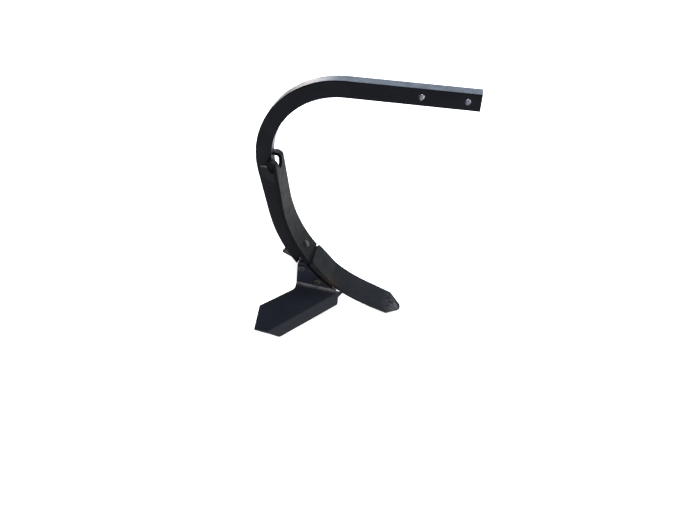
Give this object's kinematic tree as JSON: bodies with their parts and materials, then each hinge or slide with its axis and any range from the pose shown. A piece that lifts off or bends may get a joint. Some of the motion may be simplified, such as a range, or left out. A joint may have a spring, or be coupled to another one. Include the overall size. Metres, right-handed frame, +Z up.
{
  "type": "cultivator tine",
  "caption": "C-shaped bar tine that bolts to a toolbar and carries a curved deflector, a pointed share and two swept wing shares.",
  "frame": {"origin": "centre of the arm's front bore, in the middle of the bar's width and depth", "axes": "+X the direction of travel along the arm, +Y across it to the left, +Z up from the share towards the arm"},
  "size_m": [0.4796, 0.3492, 0.6198],
  "materials": {
    "shank_paint": "semi-gloss",
    "deflector_paint": "satin",
    "share_steel": "satin",
    "wing_paint": "satin",
    "bracket_paint": "satin",
    "fastener_steel": "satin"
  },
  "bodies": {
    "root": {"deflector": "deflector_paint", "deflector_bolt": "fastener_steel", "deflector_clip": "deflector_paint", "deflector_nut": "fastener_steel", "deflector_washer": "fastener_steel", "shank": "shank_paint", "share_bolt_lower": "fastener_steel", "share_bolt_upper": "fastener_steel", "share_nut_lower": "fastener_steel", "share_nut_upper": "fastener_steel", "share_point": "share_steel", "share_washer_lower": "fastener_steel", "share_washer_upper": "fastener_steel", "wing_bolt_left_front": "fastener_steel", "wing_bolt_left_rear": "fastener_steel", "wing_bolt_right_front": "fastener_steel", "wing_bolt_right_rear": "fastener_steel", "wing_bracket": "bracket_paint", "wing_left": "wing_paint", "wing_nut_left_front": "fastener_steel", "wing_nut_left_rear": "fastener_steel", "wing_nut_right_front": "fastener_steel", "wing_nut_right_rear": "fastener_steel", "wing_right": "wing_paint"}
  },
  "joints": []
}
